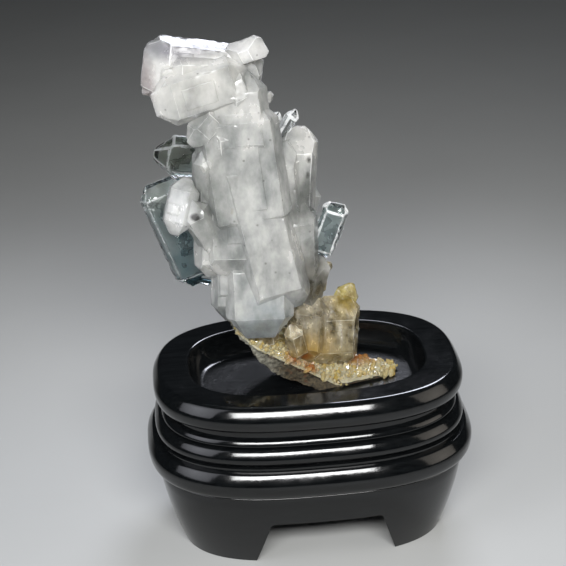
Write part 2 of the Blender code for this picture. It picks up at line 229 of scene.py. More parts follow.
# Black lacquer, brushed over carved hardwood and rubbed down: a deep wet gloss outside
# with a faint orange peel, left rougher in the recess, and a little dust lying on top
def blackLacquer():
    material, add, shader, place = newMaterial("black lacquer on carved wood")
    s = standSizes
    # 1 in the recess, from just under its lip
    oval = spot(add, place, (0, 0, (s["top"] + s["recessFloor"]) / 2),
                (s["recessHalfWidth"] + 2, s["recessHalfDepth"] + 2, 12), 0.0, 0.12)
    height = add("SeparateXYZ", [place], 2)
    lip = onGround((0, 0, s["top"])).z
    sunk = add("MapRange", {
        0: height, 1: (lip - 1.6) * mm, 2: (lip - 0.6) * mm, 3: 1.0, 4: 0.0})
    recess = add("Math", [oval, sunk], operation="MULTIPLY")
    # The wood's grain, just showing through the black
    grain = scaledNoise(add, place, 0.7, 5.0, 0.6, (14, 1, 1))
    depth = add("MapRange", [grain, 0.35, 0.7])
    body = add("Mix", {0: depth, 6: "#060708", 7: "#111314"}, 2, data_type="RGBA")
    # Dust, in patches on what looks up
    specks = add("TexVoronoi", {"Vector": place, "Scale": 1 / (1.7 * mm)}, "Distance")
    fleck = add("MapRange", [specks, 0.03, 0.085, 1.0, 0.0])
    patches = scaledNoise(add, place, 16, 3.0)
    patches = add("MapRange", {0: patches, 1: 0.5, 2: 0.7, 4: 0.5})
    normal = add("NewGeometry", out="Normal")
    upward = add("SeparateXYZ", [normal], 2)
    level = add("MapRange", [upward, 0.3, 0.9])
    dust = add("Math", [fleck, patches], operation="MULTIPLY")
    dust = add("Math", [dust, level], operation="MULTIPLY")
    coloured = add("Mix", {0: dust, 6: body, 7: "#8c8f8c"}, 2, data_type="RGBA")
    worn = scaledNoise(add, place, 9, 5.0, 0.65)
    rubbed = add("MapRange", [worn, 0.3, 0.75, 0.07, 0.17])
    rubbed = add("Math", [recess, 0.14, rubbed], operation="MULTIPLY_ADD")
    # Orange peel everywhere, and brush dabs in the recess
    peel = scaledNoise(add, place, 2.2, 2.0)
    peel = add("Math", [peel, 0.12], operation="MULTIPLY")
    dabs = add("Math", [recess, 0.25], operation="MULTIPLY")
    relief = add("Math", {
        0: scaledNoise(add, place, 1.5, 3.0), 1: dabs, 2: peel}, operation="MULTIPLY_ADD")
    bump = add("Bump", {"Height": relief, "Distance": 0.35 * mm, "Strength": 0.5})
    feed(shader, {"Base Color": coloured, "Roughness": rubbed, "IOR": 1.52, "Normal": bump})
    return material


# Weathered host rock, broken by hand: dull and gritty, grey on its old face, olive and
# rust brown where iron has soaked in under the crystals
def hostRock():
    material, add, shader, place = newMaterial("weathered host rock")
    grit = scaledNoise(add, place, 0.8, 6.0, 0.7)
    lumps = scaledNoise(add, place, 5.0, 5.0, 0.6)
    shade = add("MapRange", [grit, 0.35, 0.65])
    grey = add("Mix", {0: shade, 6: "#4c4b43", 7: "#8f8d80"}, 2, data_type="RGBA")
    shade = add("MapRange", [grit, 0.35, 0.7])
    olive = add("Mix", {0: shade, 6: "#1b1811", 7: "#5c513c"}, 2, data_type="RGBA")
    # The stain ends along a ragged line, from left to right
    side = add("SeparateXYZ", [place])
    ragged = add("MapRange", {0: lumps, 3: -10 * mm, 4: 10 * mm})
    edge = add("Math", [side, ragged], operation="ADD")
    under = add("MapRange", [edge, -16 * mm, -7 * mm])
    stone = add("Mix", {0: under, 6: grey, 7: olive}, 2, data_type="RGBA")
    spots = scaledNoise(add, place, 3.4, 4.0, 0.6, shift=(4, 2, 7))
    rust = add("MapRange", {0: spots, 1: 0.56, 2: 0.7, 4: 0.6})
    rust = add("Math", [rust, under], operation="MULTIPLY")
    stained = add("Mix", {0: rust, 6: stone, 7: "#5b3014"}, 2, data_type="RGBA")
    coarse = add("Bump", {"Height": lumps, "Distance": 0.8 * mm, "Strength": 0.6})
    fine = add("Bump", {
        "Height": grit, "Distance": 0.35 * mm, "Strength": 0.9, "Normal": coarse})
    feed(shader, {"Base Color": stained, "Roughness": 0.86, "IOR": 1.5, "Normal": fine})
    return material


# Milky quartz: glassy growth faces over a body clouded by fluid veils, so it glows
# softly inside and its faces differ by cloudiness more than by colour
milkyLook = {
    "name": "milky quartz",
    "thin": "#b4b8b6",  # where the veils are thin
    "thick": "#d9d8d4",
    "thread": "#f2f1ec",
    "rim": "#fbfbf8",  # painted highlight along the edges, where light leaves the crystal, partly the whitening of worn edges
    "rimMost": 0.6,
    "clearest": 0.66,  # share of light let through where the veils are thin
    "cloudiest": 0.25,
    "veilSize": 9.0,
    "threadStretch": (1, 1, 2.6),
    "threadMost": 0.22,
    "glow": 3.0,  # mm that light wanders inside
    "glowShare": 0.8,
    "hillocks": 0.45,  # mm, height of the low swellings on its faces
    # centre, radius along each axis, colour, most of it, softness, extra clearness
    "zones": (
        ((-31, -4, 145), (24, 14, 14), "#dcdbd6", 0.8, 0.6, -0.15),
        # painted shade on the crown's upward top, in a bluish purple grey
        ((-31, -2, 154), (20, 14, 4), "#908e95", 0.85, 0.7, 0.15),
        # painted shade on the crown's left end facet, over its slight pink tint
        ((-44, 0, 143), (5, 12, 14), "#9c918f", 0.8, 0.5, 0.1),
        ((-12, -1, 152), (9, 9, 6), "#f3f2ef", 0.85, 0.6, -0.2),
        ((-28, -5, 112), (9, 14, 22), "#a3a69f", 0.45, 0.8, 0.1),
        ((-36, -7, 109), (6, 9, 10), "#d9dad9", 0.8, 0.5, -0.1),
        ((-17, -7, 108), (5, 12, 34), "#d6d6d2", 0.5, 0.9, -0.1),  # the pale thread down the middle
        ((-12, -9, 74), (13, 10, 10), "#b7c2c6", 0.6, 0.6, 0.15),
        ((0, -1, 106), (8, 12, 11), "#8e8f87", 0.55, 0.8, 0.2),
        ((1, -2, 84), (7, 12, 12), "#8a887c", 0.65, 0.7, 0.3),
        ((4, 2, 76), (8, 12, 7), "#8b8162", 0.6, 0.7, 0.25),
        ((-21, -6, 108), (1.0, 6, 2.2), "#8a6a3e", 0.7, 0.6, 0.0),
        ((-31.5, -9, 107.3), (1.8, 5, 1.4), "#1d1c19", 0.95, 0.4, 0.0),
        ((0, -3, 127), (1.3, 5, 1.4), "#474641", 0.8, 0.6, 0.0),
        ((2.5, -3, 118.5), (1.0, 5, 1.5), "#33322e", 0.85, 0.5, 0.0),
        ((2, -3, 114), (0.9, 5, 1.6), "#3a3935", 0.8, 0.5, 0.0),
    ),
}
# Iron tinted quartz at the foot: the same crystal, clearer and streaked along its growth
footLook = {
    "name": "quartz, iron tinted",
    "thin": "#b6a67e",
    "thick": "#e2d7b6",
    "thread": "#fffaf0",
    # painted highlight along the edges, partly the whitening of worn edges
    "rim": "#fffdf2",
    "rimMost": 0.7,
    "clearest": 0.88,
    "cloudiest": 0.5,
    "veilSize": 3.0,
    "threadStretch": (1, 1, 9),
    "threadMost": 0.85,
    "glow": 3.0,
    "glowShare": 0.5,
    "hillocks": 0.15,
    "zones": (
        ((13, 2, 72), (6, 12, 5), "#c2aa55", 0.8, 0.7, -0.15),
        ((0, -5, 58), (12, 9, 9), "#b8912f", 0.8, 0.8, -0.25),
        ((9, -4, 54), (9, 9, 6), "#b39a58", 0.6, 0.8, 0.0),
        ((-1, -6, 56), (3, 6, 2.5), "#a8500f", 0.9, 0.6, -0.2),
        ((2, -2, 70), (9, 9, 6), "#cdc4b0", 0.7, 0.8, 0.0),
    ),
}
yellowLook = {
    **footLook,
    "name": "quartz, stained yellow",
    "thin": "#a3914a",
    "thick": "#d6c988",
    # how strongly the painted edge highlight shows
    "rimMost": 0.25,
    "clearest": 0.55,
    "cloudiest": 0.2,
    "zones": (),
}


def edgeMask(add, wobble):
    # 1 on the softened edges of a crystal, broken up here and there. It places the painted edge highlight,
    # and the rougher worn edges
    rim = add("Attribute", out="Fac", attribute_name="rim")
    broken = add("MapRange", [wobble, -0.12, 0.05, 0.35])
    return add("Math", [rim, broken], operation="MULTIPLY")


def tintZone(add, place, body, zone, wobble):
    # Gives the tinted colour, and the mask of the zone
    centre, radius, colour, most, soft = zone[:5]
    inside = spot(add, place, centre, radius, wobble, soft)
    share = add("Math", [inside, most], operation="MULTIPLY")
    return add("Mix", {0: share, 6: body, 7: colour}, 2, data_type="RGBA"), inside


def cloudyQuartz(look):
    material, add, shader, place = newMaterial(look["name"])
    veils = scaledNoise(add, place, look["veilSize"], 5.0, 0.55, (1, 1, 1.6))
    threads = scaledNoise(add, place, 1.1, 4.0, 0.6, look["threadStretch"])
    drift = scaledNoise(add, place, 4.0, 4.0, 0.6)
    wobble = add("MapRange", {0: drift, 3: -0.35, 4: 0.35})
    cloud = add("MapRange", [veils, 0.34, 0.66])
    body = add("Mix", {0: cloud, 6: look["thin"], 7: look["thick"]}, 2, data_type="RGBA")
    bright = add("MapRange", {0: threads, 1: 0.5, 2: 0.72, 4: look["threadMost"]})
    body = add("Mix", {0: bright, 6: body, 7: look["thread"]}, 2, data_type="RGBA")
    clearness = add("MapRange", {
        0: veils, 1: 0.34, 2: 0.66, 3: look["clearest"], 4: look["cloudiest"]})
    for zone in look["zones"]:
        body, inside = tintZone(add, place, body, zone, wobble)
        clearness = add("Math", {
            0: inside, 1: zone[5], 2: clearness}, operation="MULTIPLY_ADD")
    # Dark mineral specks, about one in 4 mm
    flecks = add("TexVoronoi", {"Vector": place, "Scale": 1 / (4.2 * mm)}, "Distance")
    dark = add("MapRange", [flecks, 0.04, 0.11, 0.5, 0.0])
    body = add("Mix", {0: dark, 6: body, 7: "#4b4a45"}, 2, data_type="RGBA")
    # Painted highlight along the edges, partly the whitening of worn edges: paler and less clear there
    rim = add("Math", {
        0: edgeMask(add, wobble), 1: look["rimMost"]}, operation="MULTIPLY")
    body = add("Mix", {0: rim, 6: body, 7: look["rim"]}, 2, data_type="RGBA")
    clearness = add("Math", [rim, -0.4, clearness], operation="MULTIPLY_ADD")
    # Growth hillocks, a few mm wide and very low, then striations across the prism
    hillocks = add("Bump", {
        "Height": scaledNoise(add, place, 4.5, 2.0, 0.5, (1.6, 1.6, 1)),
        "Distance": look["hillocks"] * mm, "Strength": 0.5})
    striations = add("Bump", {
        "Height": scaledNoise(add, place, 0.9, 3.0, 0.5, (5, 5, 1)),
        "Distance": 0.10 * mm, "Strength": 0.4, "Normal": hillocks})
    feed(shader, {
        "Base Color": body,
        "Transmission Weight": add("Clamp", [clearness]),
        "Roughness": add("MapRange", {0: cloud, 3: 0.12, 4: 0.3}),
        "IOR": 1.544,
        "Subsurface Weight": look["glowShare"],
        "Subsurface Radius": (1.0, 1.0, 0.95),
        "Subsurface Scale": look["glow"] * mm,
        "Normal": striations,
    })
    return material


# Veils: healed cracks and growth phantoms inside a clear crystal, seen as a frosted shape
veilLook = {
    "thin": "#84989c",
    "thick": "#b9c2c0",
    "clearest": 0.72,
    "cloudiest": 0.32,
    # centre, radius along each axis, colour, most of it, softness
    "zones": (
        ((-42, 4, 111), (9, 12, 11), "#cfd0c6", 0.8, 1.0),
        ((-33, 4, 86), (11, 12, 14), "#4d737c", 0.85, 1.0),
        ((-38, 3, 122), (12, 12, 6), "#7f8176", 0.85, 0.5),
        ((8, 2, 96), (6, 12, 9), "#bcc7c6", 0.6, 0.6),
    ),
}


def innerVeil(look):
    material, add, shader, place = newMaterial("healed veil inside rock crystal")
    drift = scaledNoise(add, place, 5.5, 3.0, 0.5)
    wobble = add("MapRange", {0: drift, 3: -0.5, 4: 0.5})
    cloud = add("MapRange", [drift, 0.3, 0.7])
    tint = add("Mix", {0: cloud, 6: look["thin"], 7: look["thick"]}, 2, data_type="RGBA")
    for zone in look["zones"]:
        tint, inside = tintZone(add, place, tint, zone, wobble)
    # Painted highlight along the phantom's edges: paler there
    rim = edgeMask(add, wobble)
    pale = add("Math", [rim, 0.7], operation="MULTIPLY")
    tint = add("Mix", {0: pale, 6: tint, 7: "#eef2f1"}, 2, data_type="RGBA")
    clearness = add("MapRange", {0: cloud, 3: look["clearest"], 4: look["cloudiest"]})
    clearness = add("Math", [rim, -0.3, clearness], operation="MULTIPLY_ADD")
    frosted = add("MapRange", [drift, 0.35, 0.65, 0.15, 0.5])
    bump = add("Bump", {"Height": drift, "Distance": 0.4 * mm, "Strength": 0.6})
    feed(shader, {
        "Base Color": tint, "Roughness": frosted, "Transmission Weight": clearness,
        "IOR": 1.07,  # against the quartz round it
        "Normal": bump,
    })
    return material


# Rock crystal: clear quartz with natural, nearly flat growth faces; what tint it has is in its depth, so
# it comes from absorption and thin parts stay colourless. The blue one's tint is a painted reflection
def rockCrystal(name, tint, density, clearAtEdges):
    material, add, shader, place = newMaterial(name)
    waves = scaledNoise(add, place, 3.2, 3.0, 0.5, (3, 3, 1))
    pits = scaledNoise(add, place, 0.9, 4.0, 0.6)
    # Painted highlight along the edges: less clear there, so the white base shows, partly the frosting of
    # worn edges
    rim = edgeMask(add, add("MapRange", {0: waves, 3: -0.35, 4: 0.35}))
    clearness = add("MapRange", {0: rim, 3: 1.0, 4: clearAtEdges})
    rubbed = add("MapRange", [pits, 0.45, 0.8, 0.03, 0.15])
    rubbed = add("Math", [rim, 0.3, rubbed], operation="MULTIPLY_ADD")
    low = add("Bump", {"Height": waves, "Distance": 0.30 * mm, "Strength": 0.5})
    bump = add("Bump", {
        "Height": pits, "Distance": 0.06 * mm, "Strength": 0.5, "Normal": low})
    feed(shader, {
        "Base Color": "#f8fafa", "Roughness": rubbed, "Transmission Weight": clearness, "IOR": 1.544,
        "Normal": bump,
    })
    depth = add("VolumeAbsorption", {"Color": tint, "Density": density})
    feed(material.node_tree.nodes["Material Output"], {"Volume": depth})
    return material


# Druse quartz: a crust of small glassy crystals, cream where clean and stained yellow
# to rust by iron oxide that settled between them
rustyZones = (  # centre, radius along each axis, colour, most of it, softness
    ((-4, -7, 58), (4, 6, 3), "#a8560f", 0.85, 0.8),
    ((1, -6, 54), (4, 5, 2.5), "#a8560f", 0.85, 0.8),
    ((17, 5, 51), (9, 6, 4), "#a8560f", 0.85, 0.8),
)


def stainedDruse():
    material, add, shader, place = newMaterial("iron stained druse quartz")
    tint = add("Attribute", out="Fac", attribute_name="tint")
    patches = scaledNoise(add, place, 5.0, 4.0, 0.6)
    wobble = add("MapRange", {0: patches, 3: -0.5, 4: 0.5})
    body = add("Mix", {0: tint, 6: "#e4dcbc", 7: "#cbb36c"}, 2, data_type="RGBA")
    ochre = add("MapRange", {0: patches, 1: 0.54, 2: 0.7, 4: 0.6})
    body = add("Mix", {0: ochre, 6: body, 7: "#b08c3e"}, 2, data_type="RGBA")
    for zone in rustyZones:
        body, inside = tintZone(add, place, body, zone, wobble)
    bump = add("Bump", {
        "Height": scaledNoise(add, place, 0.5, 3.0), "Distance": 0.05 * mm, "Strength": 0.4})
    feed(shader, {
        "Base Color": body,
        "Roughness": add("MapRange", {0: tint, 3: 0.04, 4: 0.22}),
        "Transmission Weight": add("MapRange", {
            0: patches, 1: 0.3, 2: 0.7, 3: 0.65, 4: 0.25}),
        "IOR": 1.544,
        "Subsurface Weight": 0.3,
        "Subsurface Radius": (1.0, 0.8, 0.5),
        "Subsurface Scale": 1.0 * mm,
        "Normal": bump,
    })
    return material


# Stand: a turned profile on an oval plan, cut out at the top and under the feet

standSizes = {
    "halfWidth": 50.5,
    "halfDepth": 36.2,
    "squareness": 2.75,  # 2 is an ellipse, larger is squarer
    "segments": 200,
    "top": 54.3,
    "slabBottom": 46.3,
    "slabInset": 3.0,
    "waistBottom": 43.0,
    "waistInset": 6.8,
    "thinBeadBottom": 40.9,
    "thinBeadInset": 4.9,
    "middleBeadBottom": 35.4,
    "middleBeadInset": 2.8,
    "filletBottom": 33.9,
    "filletInset": 3.0,
    "bullnoseBottom": 25.9,
    "apronTop": 25.0,
    "apronInset": 2.9,
    "lipHeight": 0.8,
    "lipInset": 1.9,
    "footInset": 9.0,
    "footCurve": 1.5,  # above 1, the feet draw in more quickly near the ground
    "groove": 1.5,  # how far each moulding's edges lie behind its crest
    "pocketInset": 17.0,
    "pocketHeight": 18.0,
    "archHeight": 14.6,
    "archShift": 1.8,
    "frontArch": (33.6, 46.0),  # width at its top and at the ground
    "sideArch": (15.0, 23.0),
    "recessHalfWidth": 36.2,
    "recessHalfDepth": 23.0,
    "recessFloor": 46.6,
    "recessCove": 4.2,
    "recessLip": 0.7,
    "seatDepth": 1.4,
    "gap": 0.3,
}


def mouldingPoints(bottom, top, crestInset, steps=14):
    middle = (bottom + top) / 2
    half = (top - bottom) / 2
    points = []
    for step in range(steps + 1):
        turn = math.pi * step / steps
        inset = crestInset + standSizes["groove"] * (1 - math.sin(turn))
        points.append((inset, middle - half * math.cos(turn)))
    return points


def shoulderPoints(bottom, top, crestInset, size, lastSlope):
    # A crest with a small lower lip, then a broad flattened shoulder that holds a wide
    # highlight. Each arc has its radius in mm and the slope of its normal at both ends
    upper = [(0.0, 0.0)]
    for radius, first, last in ((3.5, 0, 28), (17.0, 28, 36), (2.0 * lastSlope / 90, 36, lastSlope)):
        startInset, startHeight = upper[-1]
        for step in range(1, 6):
            a, b = math.radians(first), math.radians(first + (last - first) * step / 5)
            inset = startInset + size * radius * (math.cos(a) - math.cos(b))
            upper.append((inset, startHeight + size * radius * (math.sin(b) - math.sin(a))))
    crest = top - upper[-1][1]
    points = []
    for step in range(6):
        turn = math.pi / 2 * step / 6
        inset = crestInset + standSizes["groove"] * (1 - math.sin(turn))
        points.append((inset, crest - (crest - bottom) * math.cos(turn)))
    return points + [(crestInset + inset, crest + height) for inset, height in upper]


def standProfile(s):
    points = []
    for level in range(13):
        rise = level / 12
        drawnIn = (s["footInset"] - s["apronInset"]) * (1 - rise) ** s["footCurve"]
        points.append((s["apronInset"] + drawnIn, -footDrop + (s["apronTop"] + footDrop) * rise))
    lip = s["apronTop"] + s["lipHeight"]
    points.pop()
    points += mouldingPoints(s["apronTop"] - s["lipHeight"] / 2, lip, s["lipInset"], 8)
    points.append((s["apronInset"] + s["groove"] / 2, s["bullnoseBottom"]))
    points += shoulderPoints(s["bullnoseBottom"], s["filletBottom"], 0.0, 1.0, 64)[1:]
    points.append((s["filletInset"] + 0.02, s["filletBottom"] + 0.05))
    points.append((s["filletInset"], s["middleBeadBottom"] - s["gap"]))
    beadTop = s["thinBeadBottom"] - s["gap"]
    points += shoulderPoints(s["middleBeadBottom"], beadTop, s["middleBeadInset"], 0.7, 88)
    points += shoulderPoints(s["thinBeadBottom"], s["waistBottom"], s["thinBeadInset"], 0.35, 88)
    points.append((s["waistInset"], s["waistBottom"] + s["gap"]))
    points.append((s["waistInset"], s["slabBottom"]))
    points += shoulderPoints(s["slabBottom"] + s["gap"], s["top"], s["slabInset"], 1.0, 90)
    points.append((s["slabInset"] + 9.5, s["top"]))
    return points


def recessProfile(s):
    rise = s["top"] - s["recessFloor"]
    points = []
    for step in range(13):
        turn = math.pi / 2 * step / 13
        inset = s["recessCove"] * (1 - math.sin(turn))
        points.append((inset, s["recessFloor"] + rise * (1 - math.cos(turn))))
    for step in range(5):
        turn = math.pi / 2 * step / 4
        inset = -s["recessLip"] * (1 - math.cos(turn))
        points.append((inset, s["top"] - s["recessLip"] * (1 - math.sin(turn))))
    points.append((-s["recessLip"], s["top"] + s["recessCove"]))
    return points


def squaredTurningTree():
    # Sweeps a profile, whose X is its inset and Z its height, round a squared oval
    add, given = newShapeTree("squared turning", (
        ("Half width", "Float"), ("Half depth", "Float"), ("Squareness", "Float"), ("Segments", "Int"),
        ("Material", "Material")))
    profile = given["Geometry"]
    count = add("GeometryNodeAttributeDomainSize", [profile], "Point Count")
    around = add("Math", [given["Segments"], 1.0], operation="ADD")
    grid = add("GeometryNodeMeshGrid", {
        "Size X": 1.0, "Size Y": 1.0, "Vertices X": count, "Vertices Y": around})
    position = add("GeometryNodeInputPosition")
    parts = add("SeparateXYZ", [position], None).outputs
    # The grid's rows are the profile's points, and its columns go round
    row = add("Math", [parts[0], 0.5], operation="ADD")
    last = add("Math", [count, 1.0], operation="SUBTRACT")
    row = add("Math", [row, last], operation="MULTIPLY")
    row = add("Math", [row], operation="ROUND")
    sample = add("GeometryNodeSampleIndex", {
        "Geometry": profile, "Value": position, "Index": row}, data_type="FLOAT_VECTOR", domain="POINT")
    sampled = add("SeparateXYZ", [sample], None).outputs
    turn = add("Math", [parts[1], 0.5], operation="ADD")
    turn = add("Math", [turn, math.tau], operation="MULTIPLY")
    power = add("Math", [2.0, given["Squareness"]], operation="DIVIDE")
    sides = []
    for wave, half in (("COSINE", given["Half width"]), ("SINE", given["Half depth"])):
        swing = add("Math", [turn], operation=wave)
        size = add("Math", [swing], operation="ABSOLUTE")
        sign = add("Math", [swing], operation="SIGN")
        reach = add("Math", [half, sampled[0]], operation="SUBTRACT")
        reach = add("Math", [reach, 0.0], operation="MAXIMUM")
        squared = add("Math", [size, power], operation="POWER")
        squared = add("Math", [squared, sign], operation="MULTIPLY")
        sides.append(add("Math", [squared, reach], operation="MULTIPLY"))
    place = add("CombineXYZ", [sides[0], sides[1], sampled[2]])
    moved = add("GeometryNodeSetPosition", {"Geometry": grid, "Position": place})
    sewn = add("GeometryNodeMergeByDistance", {"Geometry": moved, "Distance": 0.01})
    return endShapeTree(add, sewn, given["Material"])


def turnedOval(name, tree, points, halfWidth, halfDepth, material):
    # The profile is closed to the upright axis at both ends
    axis = halfWidth + 1.0
    closed = [(axis, points[0][1]), *points, (axis, points[-1][1])]
    mesh = bpy.data.meshes.new(name)
    mesh.from_pydata([(inset, 0, height) for inset, height in closed], [], [])
    piece = applyShapeTree(placeObject(name, mesh), tree, {
        "Half width": halfWidth, "Half depth": halfDepth, "Squareness": standSizes["squareness"],
        "Segments": standSizes["segments"], "Material": material})
    bm = bmesh.new()
    bm.from_mesh(piece.data)
    bmesh.ops.remove_doubles(bm, verts=bm.verts, dist=0.01)
    bmesh.ops.dissolve_degenerate(bm, edges=bm.edges, dist=0.001)
    bpy.data.objects.remove(piece, do_unlink=True)
    return newObject(name, bm, material)


def archBar(name, widths, alongX, material):
    bm = bmesh.new()
    bmesh.ops.create_cube(bm, size=1.0)
    for vertex in bm.verts:
        upper = vertex.co.z > 0
        shift = 0.0 if alongX else standSizes["archShift"]
        vertex.co.x = vertex.co.x * (widths[0] if upper else widths[1]) + shift
        vertex.co.y *= 400
        vertex.co.z = standSizes["archHeight"] if upper else -footDrop - 5
    rounded = [edge for edge in bm.edges if all(v.co.z > 0 for v in edge.verts) and
               abs(edge.verts[0].co.y - edge.verts[1].co.y) > 1]
    bmesh.ops.bevel(bm, geom=rounded, offset=1.2, segments=5, affect="EDGES", profile=0.5)
    if alongX:
        bmesh.ops.rotate(bm, cent=(0, 0, 0), matrix=Matrix.Rotation(math.pi / 2, 3, "Z"), verts=bm.verts)
    return newObject(name, bm, material)


def buildStand(material, rockSeats):
    s = standSizes
    tree = squaredTurningTree()
    stand = turnedOval("lacqueredStand", tree, standProfile(s), s["halfWidth"], s["halfDepth"], material)
    recess = turnedOval(
        "recess", tree, recessProfile(s), s["recessHalfWidth"], s["recessHalfDepth"], material)
    pocketPoints = [(s["pocketInset"], -s["pocketHeight"]), (s["pocketInset"], s["pocketHeight"])]
    pocket = turnedOval("pocket", tree, pocketPoints, s["halfWidth"], s["halfDepth"], material)
    cutters = [
        recess, pocket,
        archBar("front arch", s["frontArch"], False, material),
        archBar("side arch", s["sideArch"], True, material),
        *rockSeats,
    ]
    joinSolids(stand, cutters, "DIFFERENCE")
    useMaterial(stand, material)
    stand.data.shade_smooth()
    stand.data.set_sharp_from_angle(angle=math.radians(38))
    weighted = stand.modifiers.new("even normals", "WEIGHTED_NORMAL")
    weighted.keep_sharp = True
    return settle(stand)


# Rock: a leaning shard and a toe that lies in the recess

seatFloor = standSizes["recessFloor"] - standSizes["seatDepth"] + standSizes["gap"]
rockShape = {
    "bedPoint": (-10.0, 0.0, 60.4),
    "bedNormal": (0.56, -0.06, 0.83),
    "toeTopPoint": (15.0, 0.0, 48.0),
    "toeTopNormal": (0.10, -0.05, 0.99),
    "voxel": 0.5,
    "roughness": 1.5,  # mm, how deep the broken surface is bitten away
}
shardFaces = (
    (rockShape["bedPoint"], rockShape["bedNormal"]),
    ((-25.0, 0.0, 73.0), (-0.88, -0.18, -0.40)),
    ((-18.5, -5.0, 61.5), (-0.76, 0.06, -0.64)),
    ((-11.5, -6.0, 52.8), (-0.62, -0.16, -0.76)),
    ((-5.0, -6.0, 49.2), (-0.34, 0.10, -0.93)),
    ((0.0, 0.0, seatFloor), (0.0, 0.0, -1.0)),
    ((-10.0, -9.4, 58.0), (0.05, -0.97, -0.12)),
    ((-20.0, -7.6, 68.0), (-0.30, -0.90, 0.20)),
    ((-10.0, 13.5, 58.0), (0.06, 0.96, -0.22)),
    ((-20.0, 11.0, 68.0), (-0.42, 0.88, 0.10)),
    ((14.0, 0.0, 48.0), (0.92, 0.10, 0.30)),
)
toeFaces = (
    (rockShape["toeTopPoint"], rockShape["toeTopNormal"]),
    ((0.0, 0.0, seatFloor), (0.0, 0.0, -1.0)),
    ((10.0, -6.4, 47.0), (0.25, -0.96, -0.06)),
    ((12.0, 9.4, 47.0), (0.45, 0.89, -0.08)),
    ((28.0, 0.0, 47.0), (0.99, 0.05, -0.10)),
    ((24.0, -3.0, 47.0), (0.60, -0.78, 0.10)),
    ((-4.0, 0.0, 47.0), (-0.98, 0.10, -0.14)),
    ((0.0, -8.6, 47.0), (-0.22, -0.97, 0.0)),
    ((1.5, -6.5, 47.0), (-0.75, -0.65, -0.10)),
    ((0.0, 12.0, 47.0), (-0.16, 0.98, -0.05)),
)
toeCrustFaces = (
    ((15.0, 0.0, 49.8), (0.10, -0.05, 0.99)),
    ((0.0, 0.0, standSizes["recessFloor"] + standSizes["gap"]), (0.0, 0.0, -1.0)),
    ((10.0, -8.4, 47.0), (0.26, -0.96, 0.10)),
    ((12.0, 11.6, 47.0), (0.46, 0.89, 0.05)),
    ((30.2, 0.0, 47.0), (0.99, 0.05, 0.12)),
    ((26.0, -4.6, 47.0), (0.60, -0.78, 0.16)),
    ((9.6, -8.0, 47.0), (-0.80, -0.45, -0.40)),
    ((0.0, 12.6, 47.0), (-0.10, 0.99, 0.05)),
)


def bittenDepth(place):
    # Flat chips meeting in creases, with grit on them; 0 to 1
    chips = noise.voronoi(place / 4.5)[0]
    ledges = noise.voronoi(place / 2.0 + Vector((7, 3, 1)))[0]
    chipped = (chips[1] - chips[0]) * 0.6 + (ledges[1] - ledges[0]) * 0.25
    return 1.0 - min(1.0, chipped + 0.25 * (noise.fractal(place / 1.3, 0.8, 2.0, 4) + 0.4))


def buildRock(material):
    rock = newObject("hostRock", cutBlock(shardFaces), material)
    joinSolids(rock, [newObject("toe", cutBlock(toeFaces), material)], "UNION", "EXACT")
    remesh = rock.modifiers.new("fine mesh", "REMESH")
    remesh.mode = "VOXEL"
    remesh.voxel_size = rockShape["voxel"] * mm
    settle(rock)
    useMaterial(rock, material)
    mesh = rock.data
    normals = [vertex.normal.copy() for vertex in mesh.vertices]
    for vertex, normal in zip(mesh.vertices, normals):
        place = vertex.co / mm
        held = min(1.0, max(0.0, (place.z - footDrop - 46.4) / 3.0))  # the seat stays as cut
        vertex.co -= normal * bittenDepth(place) * rockShape["roughness"] * held * mm
    mesh.shade_smooth()
    return rock


# Quartz: flattened six-sided prisms, closed at each end by six sloping faces

crystalHabit = {
    "endSlope": 51.8,  # degrees between the long axis and the normal of an end face
    "facing": (0.0, -0.97, 0.24),  # the flattened faces look this way
    "jitter": 0.05,
    "seed": 7,
    "platesFrom": 9.0,  # least width of a crystal that carries growth plates
    "steps": 1,  # plates on each such crystal
    "stepRise": 0.03,  # of its thickness, how proud a plate stands
    "plateRim": 0.15,  # how far a plate's edges take the rim's painted highlight
    # mm, how wide edges are rounded, and the length under which one is closed up first
    "edges": {"cloudy": (0.28, 0.02), "foot": (0.32, 0.02), "clear": (0.7, 0.5)},
    # the unevenness of natural faces, and the chips along their edges
    "weathering": {
        "cloudy": {"longest": 1.2, "size": 4.5, "depth": 0.16, "chipSize": 1.6, "chip": 0.45, "sharp": 14},
        "clear": {"longest": 0.9, "size": 2.6, "depth": 0.30, "chipSize": 1.3, "chip": 0.8, "sharp": 32},
        "foot": {"longest": 1.1, "size": 3.0, "depth": 0.06, "chipSize": 1.2, "chip": 0.3, "sharp": 12},
        "inner": {"longest": 0.9, "size": 2.6, "depth": 0.22, "chipSize": 1.0, "chip": 0.5, "sharp": 40},
    },
    "wear": {
        "clearUpper": "clear", "clearSide": "clear", "glassyCrystal": "clear", "clearTips": "clear",
        "clearEdges": "foot", "footCrystals": "foot", "yellowTip": "foot",
    },
    # how far inside a clear crystal's faces its frosted phantom lies
    "phantoms": {"clear big": 1.0, "clear low": 1.0, "clear wing": 1.0, "clear upper": 1.1, "glassy": 1.1},
}
